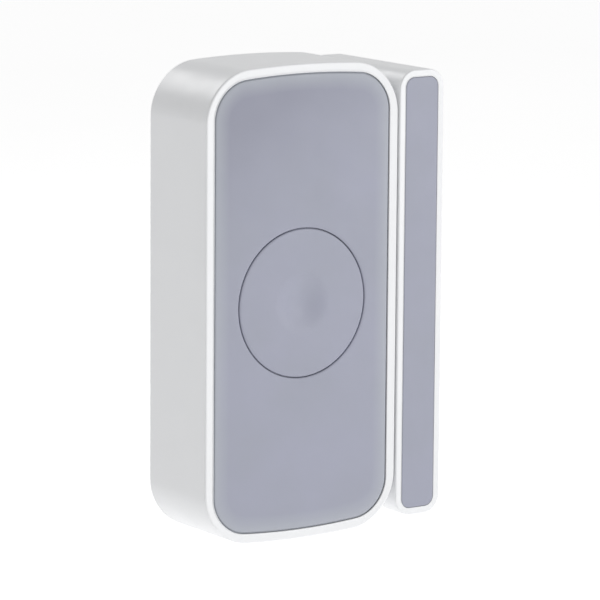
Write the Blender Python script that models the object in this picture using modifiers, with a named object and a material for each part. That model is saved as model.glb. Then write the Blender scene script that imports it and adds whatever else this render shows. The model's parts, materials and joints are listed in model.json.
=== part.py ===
"""Door contact sensor: a wall-mounted sensor unit with a round push button, and the magnet unit beside it.

Frame: metres, +Z up, -Y is the front, +X points from the sensor unit to the magnet unit. The origin is the
centre of the sensor unit's adhesive face, so the wall is the plane Y = 0.
"""

import math

import bmesh
import bpy
from mathutils import Matrix

MM = 0.001
OBJECT_NAME = "door_contact_sensor"

# Driving dimensions of the sensor unit.
SENSOR_W = 36.3 * MM
SENSOR_H = 76.0 * MM
SENSOR_DEPTH = 16.5 * MM
SENSOR_CORNER_R = 7.9 * MM
END_BOW = 1.07 * MM
RIM_SIDE = 1.6 * MM
RIM_END = 1.5 * MM
PANEL_CORNER_R = 5.5 * MM
PANEL_GAP = 0.3 * MM
BUTTON_R = 11.77 * MM
BUTTON_TRAVEL = 0.4 * MM

# Driving dimensions of the magnet unit.
UNIT_GAP = 0.35 * MM
MAGNET_W = 8.6 * MM
MAGNET_H = 72.5 * MM
MAGNET_DEPTH = 26.0 * MM
MAGNET_CORNER_R = 2.9 * MM
MAGNET_Z = -0.53 * MM
MAGNET_RIM = 1.15 * MM
INLAY_CORNER_R = 1.6 * MM

# Clearances and walls that both units share.
PLAY = 0.3 * MM
SNUG = 0.05 * MM
PAD_T = 0.8 * MM
PAD_PROUD = 0.5 * MM
COVER_T = 1.5 * MM
CUT_OVER = 1.0 * MM

# Depth planes of the sensor unit, counted from the wall at zero towards the front (negative Y).
Y_BACK = -PAD_PROUD
Y_FRONT = Y_BACK - SENSOR_DEPTH
PANEL_T = 1.6 * MM
LEDGE_T = 1.2 * MM
Y_PANEL_FRONT = Y_FRONT + SNUG
Y_PANEL_BACK = Y_PANEL_FRONT + PANEL_T
Y_LEDGE_FRONT = Y_PANEL_BACK + PLAY
Y_LEDGE_BACK = Y_LEDGE_FRONT + LEDGE_T
Y_COVER_FRONT = Y_BACK - COVER_T
PCB_T = 1.2 * MM
Y_PCB_FRONT = -8.6 * MM
Y_PCB_BACK = Y_PCB_FRONT + PCB_T
Y_ON_FRONT = Y_PCB_FRONT - PLAY
Y_ON_BACK = Y_PCB_BACK + PLAY

# Inside the sensor unit.
CAVITY_W = SENSOR_W - 2 * RIM_SIDE
CAVITY_R = SENSOR_CORNER_R - RIM_SIDE
WINDOW_W = 28.6 * MM
WINDOW_H = 48.0 * MM
WINDOW_R = 8.0 * MM
PCB_W = 31.2 * MM
PCB_H = 69.0 * MM
PCB_R = 5.0 * MM
BOSS_X = 12.0 * MM
BOSS_Z = 30.0 * MM
BOSS_R = 2.4 * MM
PILOT_R = 1.1 * MM
SCREW_R = 0.8 * MM
SCREW_HEAD_R = 1.9 * MM
CELL_Z = -16.0 * MM
CELL_R = 10.0 * MM
CELL_T = 3.2 * MM
HOLDER_R = 11.6 * MM
HOLDER_FLOOR = 0.6 * MM
TACT_W = 6.2 * MM
TACT_H = 3.2 * MM
TACT_PLUNGER_R = 1.7 * MM
REED_X = 13.4 * MM
REED_R = 1.1 * MM
REED_HALF = 7.0 * MM
TAB_Z = 20.0 * MM
PAD_W = 26.0 * MM
PAD_H = 60.0 * MM
PAD_R = 3.5 * MM
PAD_RECESS_MARGIN = 0.5 * MM

# Depth planes of the magnet unit.
MAGNET_X = SENSOR_W / 2 + UNIT_GAP + MAGNET_W / 2
Y_MAGNET_BACK = Y_FRONT + MAGNET_DEPTH
Y_MAGNET_COVER = Y_MAGNET_BACK - COVER_T
INLAY_T = 1.2 * MM
INLAY_FLOOR_T = 1.2 * MM
Y_INLAY_BACK = Y_FRONT + INLAY_T
Y_FLOOR_FRONT = Y_INLAY_BACK + PLAY
Y_FLOOR_BACK = Y_FLOOR_FRONT + INLAY_FLOOR_T
BAR_W = 4.8 * MM
BAR_T = 5.0 * MM
BAR_H = 32.0 * MM
RETAINER_T = 1.2 * MM
MAGNET_PAD_W = 3.8 * MM
MAGNET_PAD_R = 0.9 * MM

ARC_STEPS = 8
END_STEPS = 10


# ---------------------------------------------------------------- scene and materials

def clear_scene():
    for obj in list(bpy.data.objects):
        bpy.data.objects.remove(obj, do_unlink=True)


def new_collection(name, hidden=False):
    collection = bpy.data.collections.new(name)
    bpy.context.scene.collection.children.link(collection)
    collection.hide_render = hidden
    return collection


clear_scene()
PARTS = new_collection(OBJECT_NAME)
CUTTERS = new_collection("cutters", hidden=True)


def material(name, color, roughness, metallic=0.0, transmission=0.0):
    found = bpy.data.materials.get(name)
    if found:
        return found
    made = bpy.data.materials.new(name)
    made.use_nodes = True
    shader = made.node_tree.nodes["Principled BSDF"]
    shader.inputs["Base Color"].default_value = (*color, 1.0)
    shader.inputs["Roughness"].default_value = roughness
    shader.inputs["Metallic"].default_value = metallic
    shader.inputs["Transmission Weight"].default_value = transmission
    made.diffuse_color = (*color, 1.0)
    return made


def white_plastic():
    return material("white_plastic", (0.82, 0.82, 0.81), 0.42)


def grey_plastic():
    return material("grey_plastic", (0.39, 0.40, 0.48), 0.5)


def black_plastic():
    return material("black_plastic", (0.02, 0.02, 0.022), 0.5)


def inner_plastic():
    return material("inner_plastic", (0.6, 0.6, 0.58), 0.5)


def board_green():
    return material("board_green", (0.02, 0.16, 0.06), 0.45)


def steel():
    return material("steel", (0.62, 0.62, 0.62), 0.3, metallic=1.0)


def spring_steel():
    return material("spring_steel", (0.7, 0.66, 0.58), 0.28, metallic=1.0)


def magnet_metal():
    return material("magnet_metal", (0.5, 0.5, 0.52), 0.22, metallic=1.0)


def foam():
    return material("foam_pad", (0.75, 0.75, 0.73), 0.9)


def clear_glass():
    return material("clear_glass", (0.72, 0.86, 0.78), 0.05, transmission=0.8)


def ceramic():
    return material("ceramic", (0.75, 0.72, 0.62), 0.5)


# ---------------------------------------------------------------- shape helpers

def link(obj, finish=None):
    """Puts a new object with the parts, or with the cutters when it has no finish."""
    for collection in list(obj.users_collection):
        collection.objects.unlink(obj)
    if finish:
        PARTS.objects.link(obj)
        obj.data.materials.append(finish)
    else:
        CUTTERS.objects.link(obj)
        obj.hide_render = True
        obj.display_type = "WIRE"
    return obj


def rounded_outline(width, height, radius, bow=0.0, x=0.0, z=0.0):
    """A rounded rectangle in the XZ plane; bow is how far its two ends fall from mid-way to the sides."""
    points = []
    for corner in range(4):
        middle = math.radians(45 + 90 * corner)
        side_x = math.copysign(width / 2 - radius, math.cos(middle))
        side_z = math.copysign(height / 2 - radius, math.sin(middle))
        for step in range(ARC_STEPS + 1):
            turn = math.radians(90 * (corner + step / ARC_STEPS))
            points.append((side_x + radius * math.cos(turn), side_z + radius * math.sin(turn)))
        if bow and corner in (0, 2):
            end_z = math.copysign(height / 2, side_z)
            for step in range(1, END_STEPS):
                points.append((side_x * (1 - 2 * step / END_STEPS), end_z))
    lowered = [(px, pz * (1 - 2 * bow / height * (2 * px / width) ** 2)) for px, pz in points]
    return [(x + px, z + pz) for px, pz in lowered]


def prism(name, outline, start, end, finish=None, turn=None):
    """Extrudes an outline of (x, z) points from Y = start to Y = end; turn then rotates the mesh."""
    curve = bpy.data.curves.new(name, "CURVE")
    curve.dimensions = "2D"
    curve.fill_mode = "BOTH"
    curve.extrude = abs(end - start) / 2
    spline = curve.splines.new("POLY")
    spline.points.add(len(outline) - 1)
    for point, (x, z) in zip(spline.points, outline):
        point.co = (x, z, 0.0, 1.0)
    spline.use_cyclic_u = True
    guide = bpy.data.objects.new(name + "_guide", curve)
    CUTTERS.objects.link(guide)
    bpy.context.view_layer.update()
    mesh = bpy.data.meshes.new_from_object(guide.evaluated_get(bpy.context.evaluated_depsgraph_get()))
    bpy.data.objects.remove(guide, do_unlink=True)
    place = Matrix.Translation((0.0, (start + end) / 2, 0.0)) @ Matrix.Rotation(math.radians(90), 4, "X")
    if turn:
        place = turn @ place
    shape = bmesh.new()
    shape.from_mesh(mesh)
    bmesh.ops.remove_doubles(shape, verts=shape.verts, dist=1e-6)
    bmesh.ops.dissolve_limit(shape, angle_limit=math.radians(0.1), verts=shape.verts, edges=shape.edges)
    bmesh.ops.transform(shape, matrix=place, verts=shape.verts)
    bmesh.ops.recalc_face_normals(shape, faces=shape.faces)
    shape.to_mesh(mesh)
    shape.free()
    mesh.name = name
    return link(bpy.data.objects.new(name, mesh), finish)


def box(name, size, centre, finish=None):
    """A box of the given size about centre, made from a cube."""
    mesh = bpy.data.meshes.new(name)
    shape = bmesh.new()
    bmesh.ops.create_cube(shape, size=1.0)
    bmesh.ops.scale(shape, vec=size, verts=shape.verts)
    shape.to_mesh(mesh)
    shape.free()
    obj = link(bpy.data.objects.new(name, mesh), finish)
    obj.location = centre
    return obj


def rod(name, radius, start, end, x=0.0, z=0.0, finish=None, segments=24, along="Y"):
    """A cylinder from start to end along Y, or along Z where start and end are heights and z is its Y."""
    mesh = bpy.data.meshes.new(name)
    shape = bmesh.new()
    bmesh.ops.create_cone(
        shape, cap_ends=True, segments=segments, radius1=radius, radius2=radius, depth=abs(end - start)
    )
    if along == "Y":
        bmesh.ops.rotate(shape, matrix=Matrix.Rotation(math.radians(90), 3, "X"), verts=shape.verts)
    shape.to_mesh(mesh)
    shape.free()
    obj = link(bpy.data.objects.new(name, mesh), finish)
    middle = (start + end) / 2
    obj.location = (x, middle, z) if along == "Y" else (x, z, middle)
    return obj


def turned(name, profile, origin, finish=None, steps=32):
    """Turns a profile of (radius, height towards the front) about the Y axis through origin."""
    mesh = bpy.data.meshes.new(name)
    mesh.from_pydata([(r, 0.0, h) for r, h in profile], [(i, i + 1) for i in range(len(profile) - 1)], [])
    obj = link(bpy.data.objects.new(name, mesh), finish)
    screw = obj.modifiers.new("turn", "SCREW")
    screw.axis = "Z"
    screw.steps = steps
    screw.render_steps = steps
    screw.use_merge_vertices = True
    screw.merge_threshold = 1e-6
    screw.use_smooth_shade = True
    obj.rotation_euler = (math.radians(90), 0.0, 0.0)
    obj.location = origin
    return obj


def wire(name, path, radius, finish):
    """A round wire along a few points, with filled caps."""
    curve = bpy.data.curves.new(name, "CURVE")
    curve.dimensions = "3D"
    curve.bevel_depth = radius
    curve.bevel_resolution = 2
    curve.use_fill_caps = True
    spline = curve.splines.new("POLY")
    spline.points.add(len(path) - 1)
    for point, place in zip(spline.points, path):
        point.co = (*place, 1.0)
    return link(bpy.data.objects.new(name, curve), finish)


def combine(obj, other, operation):
    step = obj.modifiers.new(other.name, "BOOLEAN")
    step.operation = operation
    step.solver = "EXACT"
    step.object = other


def cut(obj, *cutters):
    for cutter in cutters:
        combine(obj, cutter, "DIFFERENCE")


def add(obj, *pieces):
    for piece in pieces:
        combine(obj, piece, "UNION")


def soften(obj, width, segments=2):
    """Rounds every sharp edge that the shape has so far."""
    bevel = obj.modifiers.new("soften", "BEVEL")
    bevel.width = width
    bevel.segments = segments
    bevel.limit_method = "ANGLE"
    bevel.angle_limit = math.radians(50)


def smooth(obj, angle=35):
    obj.data.shade_smooth()
    obj.data.set_sharp_from_angle(angle=math.radians(angle))


# ---------------------------------------------------------------- sensor unit: shell

def sensor_outline(inset_x, inset_z, radius):
    return rounded_outline(SENSOR_W - 2 * inset_x, SENSOR_H - 2 * inset_z, radius, END_BOW)


def build_sensor_housing():
    housing = prism("sensor_housing", sensor_outline(0, 0, SENSOR_CORNER_R), Y_FRONT, Y_BACK, white_plastic())
    soften(housing, 0.4 * MM, 3)
    seat = sensor_outline(RIM_SIDE, RIM_END, PANEL_CORNER_R + PANEL_GAP)
    cavity = sensor_outline(RIM_SIDE, RIM_SIDE, CAVITY_R)
    window = rounded_outline(WINDOW_W, WINDOW_H, WINDOW_R)
    cut(
        housing,
        prism("cut_panel_seat", seat, Y_FRONT - CUT_OVER, Y_LEDGE_FRONT),
        prism("cut_cavity", cavity, Y_LEDGE_BACK, Y_BACK + CUT_OVER),
        prism("cut_window", window, Y_LEDGE_FRONT - CUT_OVER, Y_LEDGE_BACK + CUT_OVER),
    )
    overlap = LEDGE_T / 2
    for x in (-BOSS_X, BOSS_X):
        for z in (-BOSS_Z, BOSS_Z):
            tag = f"{'r' if x > 0 else 'l'}{'t' if z > 0 else 'b'}"
            add(housing, rod(f"boss_{tag}", BOSS_R, Y_LEDGE_BACK - overlap, Y_ON_FRONT, x, z))
            cut(housing, rod(f"cut_pilot_{tag}", PILOT_R, Y_LEDGE_BACK + PLAY, 0.0, x, z, segments=16))
    smooth(housing)


def build_front_panel():
    outline = sensor_outline(RIM_SIDE + PANEL_GAP, RIM_END + PANEL_GAP, PANEL_CORNER_R)
    panel = prism("front_panel", outline, Y_PANEL_FRONT, Y_PANEL_BACK, grey_plastic())
    hole = rod(
        "cut_button_hole",
        BUTTON_R + PANEL_GAP,
        Y_PANEL_FRONT - CUT_OVER,
        Y_PANEL_BACK + CUT_OVER,
        segments=72,
    )
    cut(panel, hole)
    soften(panel, 0.25 * MM, 2)
    smooth(panel)


def build_button():
    """A dished disc with a hidden flange that keeps it in, and a stem that reaches the switch."""
    dish_r = 5.2 * MM
    dish_depth = 0.78 * MM
    dish_steps = 9
    flange_r = 13.2 * MM
    flange_front = PANEL_T + PLAY
    flange_back = flange_front + 0.8 * MM
    stem_r = 2.4 * MM
    stem_end = 3.6 * MM
    edge = 0.2 * MM
    profile = []
    for step in range(dish_steps + 1):
        share = step / dish_steps
        profile.append((dish_r * share, -dish_depth * (1 - share**2) ** 2))
    profile += [(BUTTON_R - edge, 0.0), (BUTTON_R, -edge), (BUTTON_R, -flange_front)]
    profile.append((flange_r, -flange_front))
    profile += [(flange_r, -flange_back), (stem_r, -flange_back), (stem_r, -stem_end), (0.0, -stem_end)]
    cap = turned("button_cap", profile, (0.0, Y_PANEL_FRONT, 0.0), grey_plastic(), steps=72)
    plunger_tip = Y_PANEL_FRONT + stem_end + PLAY
    tact_front = Y_ON_FRONT - TACT_H
    plunger = rod("tact_plunger", TACT_PLUNGER_R, plunger_tip, tact_front + PLAY, finish=black_plastic())
    cap_place = Matrix.Translation(cap.location) @ cap.rotation_euler.to_matrix().to_4x4()
    plunger.parent = cap
    plunger.matrix_parent_inverse = cap_place.inverted()
    smooth(plunger)


# ---------------------------------------------------------------- sensor unit: electronics

def build_main_board():
    board = prism("main_pcb", rounded_outline(PCB_W, PCB_H, PCB_R), Y_PCB_FRONT, Y_PCB_BACK, board_green())
    for x in (-BOSS_X, BOSS_X):
        for z in (-BOSS_Z, BOSS_Z):
            name = f"cut_board_{x:.3f}_{z:.3f}"
            cut(board, rod(name, PILOT_R, Y_PCB_FRONT - CUT_OVER, Y_PCB_BACK + CUT_OVER, x, z, segments=16))


def build_tact_switch():
    centre = (0.0, Y_ON_FRONT - TACT_H / 2, 0.0)
    body = box("tact_switch_body", (TACT_W, TACT_H, TACT_W), centre, black_plastic())
    soften(body, 0.3 * MM)
    well_depth = 2 * PLAY + BUTTON_TRAVEL + 0.2 * MM
    front = Y_ON_FRONT - TACT_H
    cut(body, rod("cut_plunger_well", TACT_PLUNGER_R + PLAY, front - CUT_OVER, front + well_depth))


def on_board(name, size, place, finish, edge=0.15 * MM, lift=0.0):
    """A flat-backed component of (width, thickness, height) at (x, z) on the board's front face."""
    x, z = place
    centre = (x, Y_ON_FRONT - lift - size[1] / 2, z)
    obj = box(name, size, centre, finish)
    soften(obj, edge)
    return obj


def build_chips():
    chip = (7.0 * MM, 1.0 * MM, 7.0 * MM)
    led = (3.0 * MM, 1.1 * MM, 2.0 * MM)
    crystal = (5.0 * MM, 1.3 * MM, 3.2 * MM)
    on_board("microcontroller", chip, (-1.0 * MM, -13.0 * MM), black_plastic())
    on_board("status_led", led, (-10.0 * MM, 9.0 * MM), ceramic())
    on_board("crystal_can", crystal, (8.5 * MM, -14.5 * MM), steel(), edge=0.4 * MM)
    can_r = 2.6 * MM
    can_front = Y_ON_FRONT - 4.0 * MM
    capacitor = rod("bulk_capacitor", can_r, can_front, Y_ON_FRONT, -8.5 * MM, -24.0 * MM, steel())
    soften(capacitor, 0.3 * MM)
    smooth(capacitor)


def build_radio():
    """A radio module: a thin board with a shield can and an antenna standing on it."""
    middle_x = -1.0 * MM
    middle_z = 22.0 * MM
    carrier = (15.0 * MM, 0.8 * MM, 19.0 * MM)
    can = (12.0 * MM, 1.9 * MM, 11.5 * MM)
    aerial = (7.0 * MM, 1.1 * MM, 2.0 * MM)
    lift = carrier[1] + PLAY
    board = on_board("radio_board", carrier, (middle_x, middle_z), board_green(), edge=0.1 * MM)
    board.modifiers["soften"].segments = 1
    on_board("radio_shield", can, (middle_x, middle_z - 2.5 * MM), steel(), edge=0.4 * MM, lift=lift)
    on_board("chip_antenna", aerial, (middle_x, middle_z + 7.0 * MM), ceramic(), lift=lift)


def build_reed_switch():
    centre_y = Y_ON_FRONT - REED_R - 0.5 * MM
    glass = rod("reed_glass", REED_R, -REED_HALF, REED_HALF, REED_X, centre_y, clear_glass(), 20, along="Z")
    soften(glass, 0.6 * MM, 3)
    smooth(glass)
    lead_r = 0.3 * MM
    bend = 2.2 * MM
    for name, side in (("reed_lead_top", 1), ("reed_lead_bottom", -1)):
        start = side * (REED_HALF + SNUG)
        path = [
            (REED_X, centre_y, start),
            (REED_X, centre_y, start + side * bend),
            (REED_X, centre_y + 0.4 * MM, start + side * (bend + 0.5 * MM)),
            (REED_X, Y_ON_FRONT, start + side * (bend + 0.6 * MM)),
        ]
        wire(name, path, lead_r, steel())


def build_battery():
    holder_back = Y_ON_BACK + 4.2 * MM
    holder = rod("battery_holder", HOLDER_R, Y_ON_BACK, holder_back, 0.0, CELL_Z, black_plastic(), 48)
    floor = Y_ON_BACK + HOLDER_FLOOR
    bore_r = CELL_R + 0.4 * MM
    slot_w = 6.0 * MM
    slot_centre = (0.0, holder_back, CELL_Z + CELL_R + 0.6 * MM)
    cut(
        holder,
        rod("cut_cell_bore", bore_r, floor, holder_back + CUT_OVER, 0.0, CELL_Z, segments=48),
        rod("cut_floor_hole", 4.0 * MM, Y_ON_BACK - CUT_OVER, floor + CUT_OVER, 0.0, CELL_Z),
        box("cut_contact_slot", (slot_w, 20.0 * MM, 3.0 * MM), slot_centre),
    )
    smooth(holder)
    build_coin_cell(floor + PLAY)
    build_contacts(floor)


def build_coin_cell(cell_front):
    """A lithium coin cell: wide can to the back, a narrower cap towards the board."""
    cap_r = 8.8 * MM
    cap_t = 0.3 * MM
    edge = 0.3 * MM
    profile = [(0.0, 0.0), (cap_r, 0.0), (cap_r, -cap_t), (CELL_R - edge, -cap_t), (CELL_R, -cap_t - edge)]
    profile += [(CELL_R, -CELL_T + edge), (CELL_R - edge, -CELL_T), (0.0, -CELL_T)]
    turned("coin_cell", profile, (0.0, cell_front, CELL_Z), steel(), steps=48)


def build_contacts(floor):
    """Two sheet contacts: one bent over the cell's rim, one bowed up through the holder's floor."""
    sheet = 0.3 * MM
    width = 4.6 * MM
    over_y = floor + PLAY + CELL_T + PLAY
    rim_z = CELL_Z + CELL_R + 0.45 * MM
    reach = 7.0 * MM
    clip_outline = [
        (rim_z, Y_ON_BACK),
        (rim_z + sheet, Y_ON_BACK),
        (rim_z + sheet, over_y + sheet),
        (rim_z - reach, over_y + sheet),
        (rim_z - reach, over_y),
        (rim_z, over_y),
    ]
    side_prism("battery_contact_pos", clip_outline, width, spring_steel())
    half = 3.0 * MM
    rise = 0.5 * MM
    leaf_outline = [
        (CELL_Z - half, Y_ON_BACK),
        (CELL_Z - half + 1.0 * MM, Y_ON_BACK),
        (CELL_Z, Y_ON_BACK + rise - 0.15 * MM),
        (CELL_Z + half, Y_ON_BACK + rise - 0.25 * MM),
        (CELL_Z + half, Y_ON_BACK + rise),
        (CELL_Z, Y_ON_BACK + rise + 0.1 * MM),
        (CELL_Z - half + 1.0 * MM, Y_ON_BACK + 0.25 * MM),
        (CELL_Z - half, Y_ON_BACK + 0.25 * MM),
    ]
    side_prism("battery_contact_neg", leaf_outline, 3.0 * MM, spring_steel())


def side_prism(name, outline, width, finish):
    """Extrudes an outline of (z, y) points along X, centred on X = 0."""
    swap = Matrix(((0, 1, 0, 0), (0, 0, 1, 0), (1, 0, 0, 0), (0, 0, 0, 1)))
    return prism(name, outline, -width / 2, width / 2, finish, turn=swap)


def build_board_screws():
    head_t = 1.2 * MM
    shank = 4.6 * MM
    recess = 0.6 * MM
    crown = 0.3 * MM
    slot_l = 2.2 * MM
    slot_w = 0.5 * MM
    profile = [(0.0, shank + PCB_T), (SCREW_R, shank + PCB_T), (SCREW_R, 0.0), (SCREW_HEAD_R, 0.0)]
    profile += [(SCREW_HEAD_R, -head_t + crown), (SCREW_HEAD_R - crown, -head_t), (0.0, -head_t)]
    places = [(x, z) for z in (BOSS_Z, -BOSS_Z) for x in (-BOSS_X, BOSS_X)]
    for number, (x, z) in enumerate(places, start=1):
        screw = turned(f"board_screw_{number}", profile, (x, Y_ON_BACK, z), steel(), steps=20)
        centre = (x, Y_ON_BACK + head_t, z)
        slot = box(f"cut_slot_{number}", (slot_l, 2 * recess, slot_w), centre)
        cross = box(f"cut_cross_{number}", (slot_w, 2 * recess, slot_l), centre)
        cut(screw, slot, cross)


# ---------------------------------------------------------------- sensor unit: back

def build_rear_cover():
    """The plate that stays on the wall. Its four tabs grip inside the housing."""
    outline = sensor_outline(RIM_SIDE + PLAY, RIM_SIDE + PLAY, CAVITY_R - PLAY)
    cover = prism("rear_cover", outline, Y_COVER_FRONT, Y_BACK, white_plastic())
    tab_t = 1.1 * MM
    tab_l = 4.4 * MM
    tab_w = 6.0 * MM
    side_x = CAVITY_W / 2 - PLAY - tab_t / 2
    root = 0.5 * MM
    for x in (-side_x, side_x):
        for z in (-TAB_Z, TAB_Z):
            centre = (x, Y_COVER_FRONT + root - tab_l / 2, z)
            add(cover, box(f"tab_{x:.3f}_{z:.3f}", (tab_t, tab_l, tab_w), centre))
    margin = PAD_RECESS_MARGIN
    recess = rounded_outline(PAD_W + 2 * margin, PAD_H + 2 * margin, PAD_R + margin)
    cut(cover, prism("cut_pad_recess", recess, -PAD_T - PLAY, Y_BACK + CUT_OVER))
    pad = rounded_outline(PAD_W, PAD_H, PAD_R)
    prism("sensor_adhesive_pad", pad, -PAD_T, 0.0, foam())


# ---------------------------------------------------------------- magnet unit

def magnet_outline(inset, radius):
    return rounded_outline(MAGNET_W - 2 * inset, MAGNET_H - 2 * inset, radius, x=MAGNET_X, z=MAGNET_Z)


def build_magnet_housing():
    housing = prism(
        "magnet_housing", magnet_outline(0, MAGNET_CORNER_R), Y_FRONT, Y_MAGNET_BACK, white_plastic()
    )
    soften(housing, 0.35 * MM, 3)
    seat = magnet_outline(MAGNET_RIM, INLAY_CORNER_R + SNUG)
    cavity = magnet_outline(MAGNET_RIM, INLAY_CORNER_R)
    cut(
        housing,
        prism("cut_inlay_seat", seat, Y_FRONT - CUT_OVER, Y_FLOOR_FRONT),
        prism("cut_magnet_cavity", cavity, Y_FLOOR_BACK, Y_MAGNET_BACK + CUT_OVER),
    )
    smooth(housing)


def build_inlay():
    outline = magnet_outline(MAGNET_RIM + SNUG, INLAY_CORNER_R)
    prism("magnet_inlay", outline, Y_FRONT, Y_INLAY_BACK, grey_plastic())


def build_bar_magnet():
    bar_front = Y_FLOOR_BACK + PLAY
    bar_centre = (MAGNET_X, bar_front + BAR_T / 2, MAGNET_Z)
    bar = box("bar_magnet", (BAR_W, BAR_T, BAR_H), bar_centre, magnet_metal())
    soften(bar, 0.3 * MM)
    leg_t = 1.5 * MM
    back_front = bar_front + BAR_T + PLAY
    span = BAR_H + 2 * (PLAY + leg_t)
    spine_centre = (MAGNET_X, back_front + RETAINER_T / 2, MAGNET_Z)
    retainer = box("magnet_retainer", (BAR_W, RETAINER_T, span), spine_centre, inner_plastic())
    leg_l = BAR_T + PLAY + RETAINER_T / 2
    for name, side in (("leg_top", 1), ("leg_bottom", -1)):
        z = MAGNET_Z + side * (span - leg_t) / 2
        add(retainer, box(name, (BAR_W, leg_l, leg_t), (MAGNET_X, bar_front + leg_l / 2, z)))


def build_magnet_cover():
    """The back plate, with two posts that press the retainer home."""
    outline = magnet_outline(MAGNET_RIM + PLAY, INLAY_CORNER_R - PLAY)
    cover = prism("magnet_rear_cover", outline, Y_MAGNET_COVER, Y_MAGNET_BACK, white_plastic())
    post_r = 1.7 * MM
    post_z = 12.0 * MM
    post_front = Y_FLOOR_BACK + PLAY + BAR_T + PLAY + RETAINER_T + PLAY
    for name, side in (("post_top", 1), ("post_bottom", -1)):
        z = MAGNET_Z + side * post_z
        add(cover, rod(name, post_r, post_front, Y_MAGNET_COVER + COVER_T / 2, MAGNET_X, z))
    pad_back = Y_MAGNET_BACK + PAD_PROUD
    recess_w = MAGNET_PAD_W + 2 * PLAY
    recess_h = PAD_H + 2 * PLAY
    recess = rounded_outline(recess_w, recess_h, MAGNET_PAD_R + 0.1 * MM, x=MAGNET_X, z=MAGNET_Z)
    cut(cover, prism("cut_magnet_pad_recess", recess, pad_back - PAD_T - PLAY, pad_back))
    pad = rounded_outline(MAGNET_PAD_W, PAD_H, MAGNET_PAD_R, x=MAGNET_X, z=MAGNET_Z)
    prism("magnet_adhesive_pad", pad, pad_back - PAD_T, pad_back, foam())


def carry(name, *builders):
    """Runs the builders and parents what they make to one empty, which slides with all of it."""
    before = set(PARTS.objects)
    for build in builders:
        build()
    carrier = bpy.data.objects.new(name, None)
    for obj in PARTS.objects:
        if obj not in before and obj.parent is None:
            obj.parent = carrier
    PARTS.objects.link(carrier)


def main():
    build_rear_cover()
    carry(
        "sensor_unit",
        build_sensor_housing,
        build_front_panel,
        build_button,
        build_main_board,
        build_tact_switch,
        build_chips,
        build_radio,
        build_reed_switch,
        build_battery,
        build_board_screws,
    )
    carry("magnet_unit", build_magnet_housing, build_inlay, build_bar_magnet, build_magnet_cover)


main()
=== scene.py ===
import json
import math

import bmesh
import bpy
from mathutils import Matrix, Vector
from mathutils.kdtree import KDTree


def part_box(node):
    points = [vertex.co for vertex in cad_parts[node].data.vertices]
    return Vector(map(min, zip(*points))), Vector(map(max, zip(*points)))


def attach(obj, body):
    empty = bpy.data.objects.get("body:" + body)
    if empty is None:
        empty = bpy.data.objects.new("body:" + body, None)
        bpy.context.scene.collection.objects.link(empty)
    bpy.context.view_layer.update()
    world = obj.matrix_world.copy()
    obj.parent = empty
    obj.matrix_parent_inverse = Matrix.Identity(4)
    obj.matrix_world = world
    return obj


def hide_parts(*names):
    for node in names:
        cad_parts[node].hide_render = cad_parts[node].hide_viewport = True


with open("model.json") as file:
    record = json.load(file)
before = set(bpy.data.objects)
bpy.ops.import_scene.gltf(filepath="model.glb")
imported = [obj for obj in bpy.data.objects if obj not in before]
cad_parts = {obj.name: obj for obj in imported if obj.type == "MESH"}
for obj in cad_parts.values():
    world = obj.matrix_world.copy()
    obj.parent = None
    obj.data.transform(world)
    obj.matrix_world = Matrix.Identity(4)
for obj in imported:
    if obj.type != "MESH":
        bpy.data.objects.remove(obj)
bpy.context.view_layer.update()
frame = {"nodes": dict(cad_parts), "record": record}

MM = 0.001

# Places and sizes from the frame.
SHELL_LOW, SHELL_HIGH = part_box("sensor_housing")
PANEL_LOW, PANEL_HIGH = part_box("front_panel")
CAP_LOW, CAP_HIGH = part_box("button_cap")
MAG_LOW, MAG_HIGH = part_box("magnet_housing")
INLAY_LOW, INLAY_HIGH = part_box("magnet_inlay")
PCB_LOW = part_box("main_pcb")[0]
COVER_LOW, COVER_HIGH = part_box("rear_cover")
PAD_LOW, PAD_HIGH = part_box("sensor_adhesive_pad")
MAG_COVER_LOW, MAG_COVER_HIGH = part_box("magnet_rear_cover")
MAG_PAD_LOW, MAG_PAD_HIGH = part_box("magnet_adhesive_pad")
SENSOR_W = SHELL_HIGH.x - SHELL_LOW.x
SENSOR_H = SHELL_HIGH.z - SHELL_LOW.z
Y_FRONT = SHELL_LOW.y
Y_BACK = SHELL_HIGH.y
MAG_W = MAG_HIGH.x - MAG_LOW.x
MAG_H = MAG_HIGH.z - MAG_LOW.z
MAG_X = (MAG_HIGH.x + MAG_LOW.x) / 2
MAG_Z = (MAG_HIGH.z + MAG_LOW.z) / 2

# Shape values that repeat the design's.
SENSOR_CORNER_R = 7.9 * MM
END_BOW = 1.07 * MM
RIM_SIDE = 1.6 * MM
RIM_END = 1.5 * MM
PANEL_CORNER_R = 5.5 * MM
PANEL_GAP = 0.3 * MM
PLAY = 0.3 * MM
LEDGE_FRONT = PANEL_HIGH.y + PLAY
LEDGE_BACK = LEDGE_FRONT + 1.2 * MM
WINDOW_W = 28.6 * MM
WINDOW_H = 48.0 * MM
WINDOW_CORNER_R = 8.0 * MM
BUTTON_R = 11.77 * MM
DISH_R = 5.2 * MM
DISH_DEPTH = 0.78 * MM
FLANGE_FRONT = 1.9 * MM
FLANGE_BACK = 2.7 * MM
STEM_R = 2.4 * MM
BOSS_X = 12.0 * MM
BOSS_Z = 30.0 * MM
BOSS_R = 2.4 * MM
PILOT_R = 1.1 * MM
MAGNET_CORNER_R = 2.9 * MM
MAGNET_RIM = 1.15 * MM
INLAY_CORNER_R = 1.6 * MM
INLAY_FIT = 0.05 * MM
MAGNET_FLOOR_T = 1.2 * MM
COVER_T = 1.5 * MM
TAB_Z = 20.0 * MM
TAB_T = 1.1 * MM
TAB_W = 6.0 * MM
TAB_CATCH = 0.18 * MM
POST_R = 1.7 * MM
POST_Z = 12.0 * MM

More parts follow.
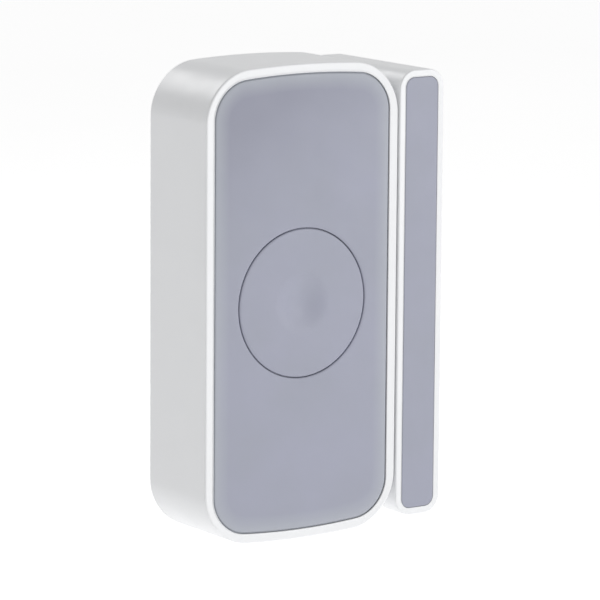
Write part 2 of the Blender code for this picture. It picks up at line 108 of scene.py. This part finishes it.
# Visible seams around the panel and the button.
SEAM = 0.18 * MM
SEAM_DEPTH = 0.3 * MM

# Soft edges as (inset, drop) pairs in millimetres.
PANEL_ROLL = (
    (0.0, 0.22),
    (0.03, 0.13),
    (0.09, 0.07),
    (0.2, 0.035),
    (0.45, 0.018),
    (0.9, 0.006),
    (1.5, 0.0),
    (2.6, 0.0),
)
BUTTON_ROLL = ((0.5, 0.0), (0.22, 0.012), (0.09, 0.05), (0.02, 0.11), (0.0, 0.2))
INLAY_ROLL = ((0.0, 0.1), (0.03, 0.04), (0.08, 0.01), (0.2, 0.0))

# How finely the curves are drawn.
PANEL_STEPS = 14
DISH_STEPS = 28
ARC_STEPS = 20
END_STEPS = 24
SIDE_STEPS = 48

# Tones of the front panel, the button and the inlay, with the paler grey of the painted highlight along the
# panel's edge and the share of colour kept under the painted shade at its upper left.
LAVENDER_GREY = (0.338, 0.348, 0.432)
PAINTED_HIGHLIGHT_GREY = (0.43, 0.455, 0.49)
PAINTED_UPPER_LEFT_SHADE = 0.76

# Camera and light.
FOCUS = Vector((0.0, Y_FRONT, 0.0))
CAMERA_TURN = math.radians(34.2)
CAMERA_RISE = math.radians(9.77)
CAMERA_ROLL = math.radians(0.44)
CAMERA_REACH = 8.551
CAMERA_LENS = 247.1
CAMERA_SHIFT = (-0.0043, 0.0051)
WORLD_LIGHT = 0.74
LEFT_TO_RIGHT = (-1.0, 0.4, 0.3, 1.08)
FAR_RIGHT = (0.5, 0.95, 1.0, 0.45)
KEY_LIGHT = 1.05
RIM_LIGHT = 3.1
FLOOR_GLOW = 0.45
FLOOR_DROP = 0.16


# ---------------------------------------------------------------- outlines and lofts

def outline(width, height, radius, bow=0.0, x=0.0, z=0.0):
    """A rounded rectangle as (x, z) points. Every call gives the same number of points in the same order."""
    points = []
    half_w = width / 2
    steep = math.atan2(height / 2 - radius, half_w)
    for corner in range(4):
        middle = math.radians(45 + 90 * corner)
        side_x = math.copysign(half_w - radius, math.cos(middle))
        side_z = math.copysign(height / 2 - radius, math.sin(middle))
        for step in range(ARC_STEPS + 1):
            turn = math.radians(90 * (corner + step / ARC_STEPS))
            points.append((side_x + radius * math.cos(turn), side_z + radius * math.sin(turn)))
        if corner in (0, 2):
            for step in range(1, END_STEPS):
                points.append((side_x * (1 - 2 * step / END_STEPS), math.copysign(height / 2, side_z)))
        else:
            for step in range(1, SIDE_STEPS):
                climb = half_w * math.tan(steep * (1 - 2 * step / SIDE_STEPS))
                points.append((math.copysign(half_w, side_x), math.copysign(climb, side_z * climb)))
    lowered = [(px, pz * (1 - 2 * bow / height * (2 * px / width) ** 2)) for px, pz in points]
    return [(x + px, z + pz) for px, pz in lowered]


def sensor_ring(inset_x, inset_z, radius):
    return outline(SENSOR_W - 2 * inset_x, SENSOR_H - 2 * inset_z, radius, END_BOW)


def magnet_ring(inset, radius):
    return outline(MAG_W - 2 * inset, MAG_H - 2 * inset, radius, x=MAG_X, z=MAG_Z)


def circle_ring(reference, radius):
    """A circle about the Y axis with its points in the same directions as the reference outline's."""
    directions = [math.atan2(z, x) for x, z in reference]
    return [(radius * math.cos(turn), radius * math.sin(turn)) for turn in directions]


def quarter(radius, steps):
    """(across, along) pairs of a quarter round, from the side (0, radius) to the face (radius, 0)."""
    turns = [math.radians(90 * step / steps) for step in range(steps + 1)]
    return [(radius * (1 - math.cos(t)), radius * (1 - math.sin(t))) for t in turns]


def loft(name, rings, closed=False):
    """Joins rings of (outline, y) into one body, with its ends capped or, if closed, joined to each other."""
    shape = bmesh.new()
    loops = [[shape.verts.new((x, y, z)) for x, z in ring] for ring, y in rings]
    pairs = list(zip(loops, loops[1:]))
    if closed:
        pairs.append((loops[-1], loops[0]))
    for near, far in pairs:
        for i in range(len(near)):
            shape.faces.new((near[i - 1], near[i], far[i], far[i - 1]))
    if not closed:
        shape.faces.new(loops[0])
        shape.faces.new(reversed(loops[-1]))
    bmesh.ops.recalc_face_normals(shape, faces=shape.faces)
    return place(name, shape)


def place(name, shape):
    mesh = bpy.data.meshes.new(name)
    shape.to_mesh(mesh)
    shape.free()
    mesh.shade_smooth()
    mesh.set_sharp_from_angle(angle=math.radians(50))
    obj = bpy.data.objects.new(name, mesh)
    bpy.context.scene.collection.objects.link(obj)
    weighted = obj.modifiers.new("weighted", "WEIGHTED_NORMAL")
    weighted.keep_sharp = True
    return obj


def mark(obj, name, value_at):
    """Stores a number from 0 to 1 on each point, which a material reads by its name."""
    stored = obj.data.attributes.new(name, "FLOAT", "POINT")
    for vertex, slot in zip(obj.data.vertices, stored.data):
        slot.value = min(1.0, max(0.0, value_at(vertex.co)))


def mark_painted_highlight(obj, reference, reach):
    """How strongly each point gets the painted highlight along the edge: 1 on the reference outline, 0 from
    reach inwards.
    """
    tree = KDTree(len(reference))
    for index, (x, z) in enumerate(reference):
        tree.insert((x, 0.0, z), index)
    tree.balance()
    mark(obj, "painted_highlight_edge", lambda point: 1.0 - tree.find((point.x, 0.0, point.z))[2] / reach)


def turned(name, profile, origin, steps=96):
    """Turns a profile of (radius, height towards the front) about the Y axis through origin."""
    shape = bmesh.new()
    verts = [shape.verts.new((r, -h, 0.0)) for r, h in profile]
    edges = [shape.edges.new(pair) for pair in zip(verts, verts[1:])]
    around = {"axis": (0, 1, 0), "cent": (0, 0, 0), "angle": math.tau}
    bmesh.ops.spin(shape, geom=verts + edges, steps=steps, use_merge=True, **around)
    bmesh.ops.remove_doubles(shape, verts=shape.verts, dist=1e-7)
    bmesh.ops.translate(shape, vec=origin, verts=shape.verts)
    bmesh.ops.recalc_face_normals(shape, faces=shape.faces)
    return place(name, shape)


def dress(obj, material, body, slot, *nodes):
    """Gives a finished piece its material and its body, and hides the design nodes it stands for. Its slot
    argument is not used.
    """
    obj.data.materials.clear()
    obj.data.materials.append(material)
    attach(obj, body)
    if nodes:
        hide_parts(*nodes)


# ---------------------------------------------------------------- materials

class Nodes:
    """A small helper that adds and links shader nodes."""

    def __init__(self, name):
        self.material = bpy.data.materials.new(name)
        self.material.use_nodes = True
        self.tree = self.material.node_tree
        self.shader = self.tree.nodes["Principled BSDF"]
        self.coords = self.tree.nodes.new("ShaderNodeTexCoord").outputs["Object"]

    def link(self, source, target):
        self.tree.links.new(source, target)

    def noise(self, size, detail=3.0, roughness=0.5):
        """A noise whose features are about size metres across."""
        node = self.tree.nodes.new("ShaderNodeTexNoise")
        node.inputs["Scale"].default_value = 1.0 / size
        node.inputs["Detail"].default_value = detail
        node.inputs["Roughness"].default_value = roughness
        self.link(self.coords, node.inputs["Vector"])
        return node.outputs["Fac"]

    def spread(self, source, low, high, start=0.3, end=0.7):
        node = self.tree.nodes.new("ShaderNodeMapRange")
        node.inputs["From Min"].default_value = start
        node.inputs["From Max"].default_value = end
        node.inputs["To Min"].default_value = low
        node.inputs["To Max"].default_value = high
        self.link(source, node.inputs["Value"])
        return node.outputs["Result"]

    def mapped(self, setting, value):
        """Turns or stretches what the noises and other textures read, by one input of a Mapping node."""
        node = self.tree.nodes.new("ShaderNodeMapping")
        node.inputs[setting].default_value = value
        self.link(self.coords, node.inputs["Vector"])
        return node.outputs["Vector"]

    def cells(self, size):
        """Distance to the nearest of scattered points that lie about size metres apart."""
        node = self.tree.nodes.new("ShaderNodeTexVoronoi")
        node.inputs["Scale"].default_value = 1.0 / size
        self.link(self.coords, node.inputs["Vector"])
        return node.outputs["Distance"]

    def tint(self, factor, first, second):
        """Mixes two colours by factor. first is a plain colour or the output of another node."""
        node = self.tree.nodes.new("ShaderNodeMix")
        node.data_type = "RGBA"
        if isinstance(first, tuple):
            node.inputs[6].default_value = (*first, 1.0)
        else:
            self.link(first, node.inputs[6])
        node.inputs[7].default_value = (*second, 1.0)
        self.link(factor, node.inputs[0])
        return node.outputs[2]

    def speckled(self, size, first, second):
        """Two colours in soft patches about size metres across."""
        return self.tint(self.spread(self.noise(size), 0, 1), first, second)

    def bump(self, source, strength, distance, before=None):
        node = self.tree.nodes.new("ShaderNodeBump")
        node.inputs["Strength"].default_value = strength
        node.inputs["Distance"].default_value = distance
        self.link(source, node.inputs["Height"])
        if before:
            self.link(before, node.inputs["Normal"])
        return node.outputs["Normal"]


def scaled(color, share):
    return tuple(channel * share for channel in color)


def moulded(name, color, roughness, grain, grain_depth, patch, tone, warm=(1.0, 1.0, 1.0)):
    """Moulded plastic: fine spark-eroded grain, broad patches of tone and of gloss."""
    made = Nodes(name)
    broad = made.noise(patch, detail=4.0)
    other = tuple(channel * (1 - tone) * shift for channel, shift in zip(color, warm))
    made.link(made.tint(made.spread(broad, 0, 1), color, other), made.shader.inputs["Base Color"])
    sheen = made.noise(patch * 0.35, detail=2.0)
    made.link(made.spread(sheen, roughness - 0.05, roughness + 0.05), made.shader.inputs["Roughness"])
    wavy = made.bump(made.noise(4.0 * MM, detail=1.0), 0.05, 0.02 * MM)
    grained = made.bump(made.noise(grain, detail=2.0), 0.35, grain_depth, wavy)
    made.link(grained, made.shader.inputs["Normal"])
    return made


def metal(name, color, roughness, stretch=(1.0, 1.0, 1.0), tone=0.15):
    """Plated or rolled metal with faint drawn lines along the axis that stretch shortens."""
    made = Nodes(name)
    made.coords = made.mapped("Scale", stretch)
    lines = made.noise(0.25 * MM, detail=4.0)
    drawn = made.tint(made.spread(lines, 0, 1), color, scaled(color, 1 - tone))
    made.link(drawn, made.shader.inputs["Base Color"])
    made.link(made.spread(lines, roughness - 0.06, roughness + 0.08), made.shader.inputs["Roughness"])
    made.link(made.bump(lines, 0.2, 0.01 * MM), made.shader.inputs["Normal"])
    made.shader.inputs["Metallic"].default_value = 1.0
    return made


def white_plastic():
    color = (0.84, 0.848, 0.862)
    return moulded("white_plastic_fine", color, 0.36, 0.22 * MM, 0.008 * MM, 14 * MM, 0.015).material


def grey_plastic():
    """Lavender grey. A piece that marks them gets a painted highlight, paler towards its edge, and painted
    shade, darker towards its upper left.
    """
    warm = (1.0, 1.01, 0.98)
    made = moulded("grey_plastic_fine", LAVENDER_GREY, 0.48, 0.2 * MM, 0.01 * MM, 11 * MM, 0.045, warm)
    base = made.shader.inputs["Base Color"]
    tone = base.links[0].from_socket
    painted_shade_color = scaled(LAVENDER_GREY, PAINTED_UPPER_LEFT_SHADE)
    # Painted shade darkens the marked upper left, and a painted highlight pales the marked band along the
    # edge.
    for mark_name, strength, other in (("painted_shade_upper_left", 0.8, painted_shade_color), ("painted_highlight_edge", 0.65, PAINTED_HIGHLIGHT_GREY)):
        marked = made.tree.nodes.new("ShaderNodeAttribute")
        marked.attribute_name = mark_name
        tone = made.tint(made.spread(marked.outputs["Fac"], 0.0, strength, 0.0, 1.0), tone, other)
    made.link(tone, base)
    return made.material


def black_plastic():
    color = (0.022, 0.022, 0.024)
    return moulded("black_plastic_fine", color, 0.5, 0.15 * MM, 0.01 * MM, 3 * MM, 0.25).material


def inner_plastic():
    return moulded("inner_plastic_fine", (0.6, 0.6, 0.57), 0.5, 0.2 * MM, 0.01 * MM, 6 * MM, 0.05).material


def board_green():
    """Solder mask over copper: long tracks, tiny vias and the glass weave show faintly through it."""
    made = Nodes("board_green_fine")
    quarter_turn = math.radians(90)
    tracks = made.tree.nodes.new("ShaderNodeTexBrick")
    tracks.offset = 0.37
    tracks.offset_frequency = 3
    tracks.squash = 0.6
    tracks.squash_frequency = 2
    tracks.inputs["Scale"].default_value = 1.0
    tracks.inputs["Brick Width"].default_value = 11.0 * MM
    tracks.inputs["Row Height"].default_value = 1.1 * MM
    tracks.inputs["Mortar Size"].default_value = 0.14 * MM
    tracks.inputs["Mortar Smooth"].default_value = 0.3
    made.link(made.mapped("Rotation", (quarter_turn, 0.0, quarter_turn)), tracks.inputs["Vector"])
    line = tracks.outputs["Fac"]
    via = made.spread(made.cells(3.4 * MM), 1.0, 0.0, 0.1, 0.13)
    mask = made.tint(line, (0.010, 0.105, 0.038), (0.014, 0.135, 0.05))
    made.link(made.tint(via, mask, (0.30, 0.27, 0.12)), made.shader.inputs["Base Color"])
    made.link(made.spread(made.noise(2 * MM), 0.28, 0.42), made.shader.inputs["Roughness"])
    weave = made.bump(made.noise(0.4 * MM), 0.1, 0.01 * MM)
    made.link(made.bump(line, 0.4, 0.02 * MM, weave), made.shader.inputs["Normal"])
    return made.material


def foam():
    """White closed-cell foam tape: small cells and a slightly yellowed tone."""
    made = Nodes("foam_pad_fine")
    cell = made.cells(0.45 * MM)
    yellowed = made.speckled(1.6 * MM, (0.76, 0.76, 0.73), (0.72, 0.715, 0.68))
    made.link(yellowed, made.shader.inputs["Base Color"])
    made.link(made.spread(cell, 0.8, 0.95, 0.0, 0.6), made.shader.inputs["Roughness"])
    made.link(made.bump(cell, 0.6, 0.06 * MM), made.shader.inputs["Normal"])
    return made.material


def glass():
    made = Nodes("clear_glass_fine")
    made.shader.inputs["Transmission Weight"].default_value = 0.9
    made.shader.inputs["IOR"].default_value = 1.47
    greenish = made.speckled(3 * MM, (0.8, 0.92, 0.86), (0.7, 0.88, 0.8))
    made.link(greenish, made.shader.inputs["Base Color"])
    made.link(made.spread(made.noise(1 * MM), 0.03, 0.1), made.shader.inputs["Roughness"])
    made.link(made.bump(made.noise(1.5 * MM), 0.1, 0.02 * MM), made.shader.inputs["Normal"])
    return made.material


def ceramic():
    return moulded("ceramic_fine", (0.74, 0.7, 0.6), 0.45, 0.1 * MM, 0.01 * MM, 1.5 * MM, 0.08).material


MATERIALS = {
    "white_plastic": white_plastic(),
    "grey_plastic": grey_plastic(),
    "black_plastic": black_plastic(),
    "inner_plastic": inner_plastic(),
    "board_green": board_green(),
    "steel": metal("steel_fine", (0.62, 0.62, 0.63), 0.3).material,
    "spring_steel": metal("spring_steel_fine", (0.72, 0.67, 0.56), 0.28, (1.0, 1.0, 0.1), 0.05).material,
    "magnet_metal": metal("magnet_metal_fine", (0.52, 0.52, 0.54), 0.24, (1.0, 1.0, 0.2)).material,
    "foam_pad": foam(),
    "clear_glass": glass(),
    "ceramic": ceramic(),
}


def dress_design_nodes():
    """Every design node that stays gets its fine material and smooth shading where its faces run on."""
    slots = {entry["node"]: entry["material_slot"] for entry in frame["record"]["subparts"]}
    for node, obj in frame["nodes"].items():
        obj.data.materials.clear()
        obj.data.materials.append(MATERIALS[slots[node]])
        obj.data.shade_smooth()
        obj.data.set_sharp_from_angle(angle=math.radians(35))


# ---------------------------------------------------------------- sensor unit

def build_sensor_shell():
    edge = 0.32 * MM
    lip = 0.12 * MM
    back_edge = 0.35 * MM
    rings = []
    for across, along in quarter(edge, 6):
        rings.append((sensor_ring(across, across, SENSOR_CORNER_R - across), Y_FRONT + along))
    seat_r = PANEL_CORNER_R + PANEL_GAP
    for along, across in reversed(quarter(lip, 3)):
        ring = sensor_ring(RIM_SIDE - across, RIM_END - across, seat_r + across)
        rings.append((ring, Y_FRONT + along))
    rings.append((sensor_ring(RIM_SIDE, RIM_END, seat_r), LEDGE_FRONT))
    window = outline(WINDOW_W, WINDOW_H, WINDOW_CORNER_R)
    rings += [(window, LEDGE_FRONT), (window, LEDGE_BACK)]
    cavity = sensor_ring(RIM_SIDE, RIM_SIDE, SENSOR_CORNER_R - RIM_SIDE)
    rings += [(cavity, LEDGE_BACK), (cavity, Y_BACK)]
    for across, along in reversed(quarter(back_edge, 4)):
        rings.append((sensor_ring(across, across, SENSOR_CORNER_R - across), Y_BACK - along))
    shell = loft("sensor_shell", rings, closed=True)
    dress(shell, MATERIALS["white_plastic"], "sensor", "white_plastic", "sensor_housing")


def build_screw_bosses():
    """Four posts that reach from the ledge to just in front of the board, each with its pilot hole."""
    height = PCB_LOW.y - PLAY - LEDGE_BACK
    foot_r = BOSS_R + 0.3 * MM
    tip_r = BOSS_R - 0.15 * MM
    profile = [(foot_r, 0.0), (BOSS_R, -0.5 * MM), (BOSS_R, -height + 0.15 * MM), (tip_r, -height)]
    profile += [(PILOT_R, -height), (PILOT_R, -0.4 * MM), (0.0, -0.3 * MM)]
    places = [(x, z) for z in (BOSS_Z, -BOSS_Z) for x in (-BOSS_X, BOSS_X)]
    for number, (x, z) in enumerate(places, start=1):
        boss = turned(f"screw_boss_{number}", profile, (x, LEDGE_BACK - 0.02 * MM, z), 40)
        dress(boss, MATERIALS["white_plastic"], "sensor", "white_plastic")


def build_front_panel():
    """The grey plate. Its narrow seams to the rim and the button are closed a little way down by a skirt."""
    front = PANEL_LOW.y
    back = PANEL_HIGH.y
    clearance = 0.02 * MM
    flat_width = 1.0
    hole_r = BUTTON_R + PANEL_GAP / 2 + SEAM / 2

    def ring(inset):
        gap = SEAM + inset
        return sensor_ring(RIM_SIDE + gap, RIM_END + gap, PANEL_CORNER_R + PANEL_GAP - gap)

    skirt = ring(clearance - SEAM)
    reference = ring(0.0)
    rings = [(skirt, back), (skirt, front + SEAM_DEPTH), (reference, front + SEAM_DEPTH)]
    rings += [(ring(inset * MM), front + drop * MM) for inset, drop in PANEL_ROLL]
    flat_reach = PANEL_ROLL[-1][0] * MM
    outer = ring(flat_reach)
    inner = circle_ring(reference, hole_r + flat_width * MM)
    for step in range(1, PANEL_STEPS):
        share = step / PANEL_STEPS
        pairs = zip(outer, inner)
        between = [(ox + (ix - ox) * share, oz + (iz - oz) * share) for (ox, oz), (ix, iz) in pairs]
        rings.append((between, front))
    for widen, drop in ((flat_width, 0.0), *BUTTON_ROLL):
        rings.append((circle_ring(reference, hole_r + widen * MM), front + drop * MM))
    rings.append((circle_ring(reference, hole_r), back))
    panel = loft("panel_face", rings, closed=True)
    # The panel's painted highlight: a paler band along its edge.
    mark_painted_highlight(panel, reference, flat_reach)
    # The panel's painted shade: darker towards its upper left.
    mark(panel, "painted_shade_upper_left", painted_shade_share)
    dress(panel, MATERIALS["grey_plastic"], "sensor", "grey_plastic", "front_panel")


def painted_shade_share(point):
    """Share of painted shade on the panel: 0 below a sloping line across it, rising towards its upper left
    with the distance squared.
    """
    start = 10 * MM
    slope = 0.5
    reach = 24 * MM
    return max(0.0, (point.z - start - slope * point.x) / reach) ** 2


def build_button():
    """The dished cap: softly rounded edge, a skirt that closes its seam, and a hidden flange and stem."""
    face_r = BUTTON_R + PANEL_GAP / 2 - SEAM / 2
    skirt_r = face_r + SEAM - 0.04 * MM
    skirt = 0.5 * MM
    chamfer = 0.2 * MM
    depth = CAP_HIGH.y - CAP_LOW.y
    profile = []
    for step in range(DISH_STEPS + 1):
        share = step / DISH_STEPS
        profile.append((DISH_R * share, -DISH_DEPTH * (1 - share**2) ** 2))
    profile += [(face_r - inset * MM, -drop * MM) for inset, drop in BUTTON_ROLL]
    profile += [(face_r, -skirt), (skirt_r, -skirt), (skirt_r, -FLANGE_FRONT)]
    profile += [(CAP_HIGH.x, -FLANGE_FRONT), (CAP_HIGH.x, -FLANGE_BACK), (STEM_R, -FLANGE_BACK)]
    profile += [(STEM_R, -depth + chamfer), (STEM_R - chamfer, -depth), (0.0, -depth)]
    cap = turned("button_face", profile, (0.0, CAP_LOW.y, 0.0), 180)
    dress(cap, MATERIALS["grey_plastic"], "button", "grey_plastic", "button_cap")


# ---------------------------------------------------------------- magnet unit

def build_magnet_shell():
    edge = 0.22 * MM
    lip = 0.08 * MM
    back_edge = 0.4 * MM
    floor_front = INLAY_HIGH.y + PLAY
    floor_back = floor_front + MAGNET_FLOOR_T
    seat_r = INLAY_CORNER_R + INLAY_FIT
    rings = [(magnet_ring(MAGNET_RIM, seat_r), floor_front)]
    for along, across in quarter(lip, 2):
        rings.append((magnet_ring(MAGNET_RIM - across, seat_r + across), MAG_LOW.y + along))
    for across, along in reversed(quarter(edge, 6)):
        rings.append((magnet_ring(across, MAGNET_CORNER_R - across), MAG_LOW.y + along))
    for across, along in quarter(back_edge, 4):
        rings.append((magnet_ring(across, MAGNET_CORNER_R - across), MAG_HIGH.y - along))
    cavity = magnet_ring(MAGNET_RIM, INLAY_CORNER_R)
    rings += [(cavity, MAG_HIGH.y), (cavity, floor_back)]
    shell = loft("magnet_shell", rings)
    dress(shell, MATERIALS["white_plastic"], "magnet", "white_plastic", "magnet_housing")


def build_inlay():
    front = INLAY_LOW.y
    rings = [(magnet_ring(MAGNET_RIM + INLAY_FIT, INLAY_CORNER_R), INLAY_HIGH.y)]
    for inset, drop in INLAY_ROLL:
        ring = magnet_ring(MAGNET_RIM + INLAY_FIT + inset * MM, INLAY_CORNER_R - inset * MM)
        rings.append((ring, front + drop * MM))
    inlay = loft("inlay_face", rings)
    dress(inlay, MATERIALS["grey_plastic"], "magnet", "grey_plastic", "magnet_inlay")


# ---------------------------------------------------------------- back plates

def pad_recess(low, high, margin, radius, x=0.0, z=0.0):
    """The outline of a recess that leaves margin around a pad with this box."""
    return outline(high.x - low.x + 2 * margin, high.z - low.z + 2 * margin, radius, x=x, z=z)


def back_plate(name, outer, recess, back, floor):
    """A plate with softly rounded edges and a shallow recess for its pad. outer takes an inset."""
    edge = 0.25 * MM
    front = back - COVER_T
    rings = [(recess, floor), (recess, back)]
    rings += [(outer(across), back - along) for across, along in reversed(quarter(edge, 4))]
    rings += [(outer(across), front + along) for across, along in quarter(edge, 4)]
    return loft(name, rings)


def build_tab(name, side, z):
    """A gripping tab of the rear cover, with a small catch near its tip."""
    root = COVER_HIGH.y - COVER_T + 0.3 * MM
    length = root - COVER_LOW.y
    lead_in = 0.35 * MM
    profile = [(0.0, 0.0), (0.0, -0.66 * length), (TAB_CATCH, -0.74 * length), (TAB_CATCH, -0.82 * length)]
    profile += [(-lead_in, -length), (-TAB_T, -length), (-TAB_T, 0.0)]
    shape = bmesh.new()
    low_z = z - TAB_W / 2
    verts = [shape.verts.new((side * (COVER_HIGH.x + x), root + y, low_z)) for x, y in profile]
    start = shape.faces.new(verts)
    grown = bmesh.ops.extrude_face_region(shape, geom=[start])["geom"]
    moved = [item for item in grown if isinstance(item, bmesh.types.BMVert)]
    bmesh.ops.translate(shape, vec=(0.0, 0.0, TAB_W), verts=moved)
    bmesh.ops.bevel(shape, geom=shape.edges[:], offset=0.1 * MM, segments=2, profile=0.5, affect="EDGES")
    bmesh.ops.recalc_face_normals(shape, faces=shape.faces)
    dress(place(name, shape), MATERIALS["white_plastic"], "base", "white_plastic")


def build_rear_cover():
    """The sensor unit's wall plate and its four tabs."""
    inset = RIM_SIDE + PLAY

    def outer(across):
        return sensor_ring(inset + across, inset + across, SENSOR_CORNER_R - inset - across)

    recess = pad_recess(PAD_LOW, PAD_HIGH, 0.5 * MM, 4.0 * MM)
    cover = back_plate("rear_plate", outer, recess, COVER_HIGH.y, PAD_LOW.y - PLAY)
    dress(cover, MATERIALS["white_plastic"], "base", "white_plastic", "rear_cover")
    places = [(side, z) for side in (-1, 1) for z in (-TAB_Z, TAB_Z)]
    for number, (side, z) in enumerate(places, start=1):
        build_tab(f"cover_tab_{number}", side, z)


def build_magnet_cover():
    """The magnet unit's back plate and the two posts that reach in to the retainer."""
    inset = MAGNET_RIM + PLAY

    def outer(across):
        return magnet_ring(inset + across, INLAY_CORNER_R - PLAY - across)

    recess = pad_recess(MAG_PAD_LOW, MAG_PAD_HIGH, 0.3 * MM, 1.0 * MM, MAG_X, MAG_Z)
    cover = back_plate("magnet_back_plate", outer, recess, MAG_COVER_HIGH.y, MAG_PAD_LOW.y - PLAY)
    dress(cover, MATERIALS["white_plastic"], "magnet", "white_plastic", "magnet_rear_cover")
    chamfer = 0.3 * MM
    root = MAG_COVER_HIGH.y - COVER_T + 0.1 * MM
    length = root - MAG_COVER_LOW.y
    profile = [(0.0, length), (POST_R - chamfer, length), (POST_R, length - chamfer)]
    profile += [(POST_R, 0.0), (0.0, 0.0)]
    for number, side in enumerate((-1, 1), start=1):
        post = turned(f"magnet_post_{number}", profile, (MAG_X, root, MAG_Z + side * POST_Z), 40)
        dress(post, MATERIALS["white_plastic"], "magnet", "white_plastic")


# ---------------------------------------------------------------- stage, light and camera

def build_stage():
    mesh = bpy.data.meshes.new("floor")
    shape = bmesh.new()
    bmesh.ops.create_grid(shape, x_segments=8, y_segments=8, size=6.0)
    bmesh.ops.translate(shape, vec=(0.0, 0.0, SHELL_LOW.z - FLOOR_DROP), verts=shape.verts)
    shape.to_mesh(mesh)
    shape.free()
    floor = bpy.data.objects.new("floor", mesh)
    bpy.context.scene.collection.objects.link(floor)
    paint = Nodes("floor_paint")
    pale = paint.speckled(0.4, (0.92, 0.92, 0.92), (0.9, 0.9, 0.9))
    paint.link(pale, paint.shader.inputs["Base Color"])
    paint.shader.inputs["Roughness"].default_value = 0.9
    paint.shader.inputs["Emission Color"].default_value = (1.0, 1.0, 1.0, 1.0)
    paint.shader.inputs["Emission Strength"].default_value = FLOOR_GLOW
    floor.data.materials.append(paint.material)


def area_light(name, toward, distance, size, power):
    """A square soft light on the side that toward points to, aimed at the object."""
    light = bpy.data.lights.new(name, "AREA")
    light.shape = "SQUARE"
    light.size = size
    light.energy = power
    obj = bpy.data.objects.new(name, light)
    bpy.context.scene.collection.objects.link(obj)
    away = Vector(toward).normalized() * distance
    aim = away.to_track_quat("Z", "Y").to_matrix().to_4x4()
    obj.matrix_world = Matrix.Translation(FOCUS + away) @ aim


def build_light():
    """A soft surround that is darker at the left and at the far right, and two area lights."""
    world = bpy.data.worlds.new("studio")
    bpy.context.scene.world = world
    world.use_nodes = True
    tree = world.node_tree
    background = tree.nodes["Background"]
    background.inputs["Color"].default_value = (1.0, 1.0, 1.0, 1.0)
    direction = tree.nodes.new("ShaderNodeTexCoord")
    split = tree.nodes.new("ShaderNodeSeparateXYZ")
    tree.links.new(direction.outputs["Generated"], split.inputs["Vector"])
    strength = None
    for start, end, low, high in (LEFT_TO_RIGHT, FAR_RIGHT):
        wall = tree.nodes.new("ShaderNodeMapRange")
        wall.inputs["From Min"].default_value = start
        wall.inputs["From Max"].default_value = end
        wall.inputs["To Min"].default_value = low
        wall.inputs["To Max"].default_value = high
        tree.links.new(split.outputs["X"], wall.inputs["Value"])
        product = tree.nodes.new("ShaderNodeMath")
        product.operation = "MULTIPLY"
        product.inputs[1].default_value = WORLD_LIGHT
        if strength:
            tree.links.new(strength, product.inputs[1])
        tree.links.new(wall.outputs["Result"], product.inputs[0])
        strength = product.outputs["Value"]
    tree.links.new(strength, background.inputs["Strength"])
    area_light("key", (0.85, -1.0, 0.25), 0.6, 0.3, KEY_LIGHT)
    area_light("rim", (-0.14, 0.82, 0.55), 1.2, 0.5, RIM_LIGHT)


def build_camera():
    """In front of the object, to its left and a little above, with a slight roll."""
    camera = bpy.data.cameras.new("camera")
    camera.sensor_width = 36.0
    camera.lens = CAMERA_LENS
    camera.shift_x, camera.shift_y = CAMERA_SHIFT
    obj = bpy.data.objects.new("camera", camera)
    bpy.context.scene.collection.objects.link(obj)
    flat = math.cos(CAMERA_RISE)
    back = Vector((-math.sin(CAMERA_TURN) * flat, -math.cos(CAMERA_TURN) * flat, math.sin(CAMERA_RISE)))
    right = Vector((0.0, 0.0, 1.0)).cross(back).normalized()
    up = back.cross(right)
    rolled_right = right * math.cos(CAMERA_ROLL) + up * math.sin(CAMERA_ROLL)
    rolled_up = back.cross(rolled_right)
    axes = Matrix((rolled_right, rolled_up, back)).transposed().to_4x4()
    obj.matrix_world = Matrix.Translation(FOCUS + back * CAMERA_REACH * SENSOR_H) @ axes
    bpy.context.scene.camera = obj


def main():
    bpy.context.scene.view_settings.view_transform = "Standard"
    dress_design_nodes()
    build_sensor_shell()
    build_screw_bosses()
    build_front_panel()
    build_button()
    build_magnet_shell()
    build_inlay()
    build_rear_cover()
    build_magnet_cover()
    build_stage()
    build_light()
    build_camera()


main()
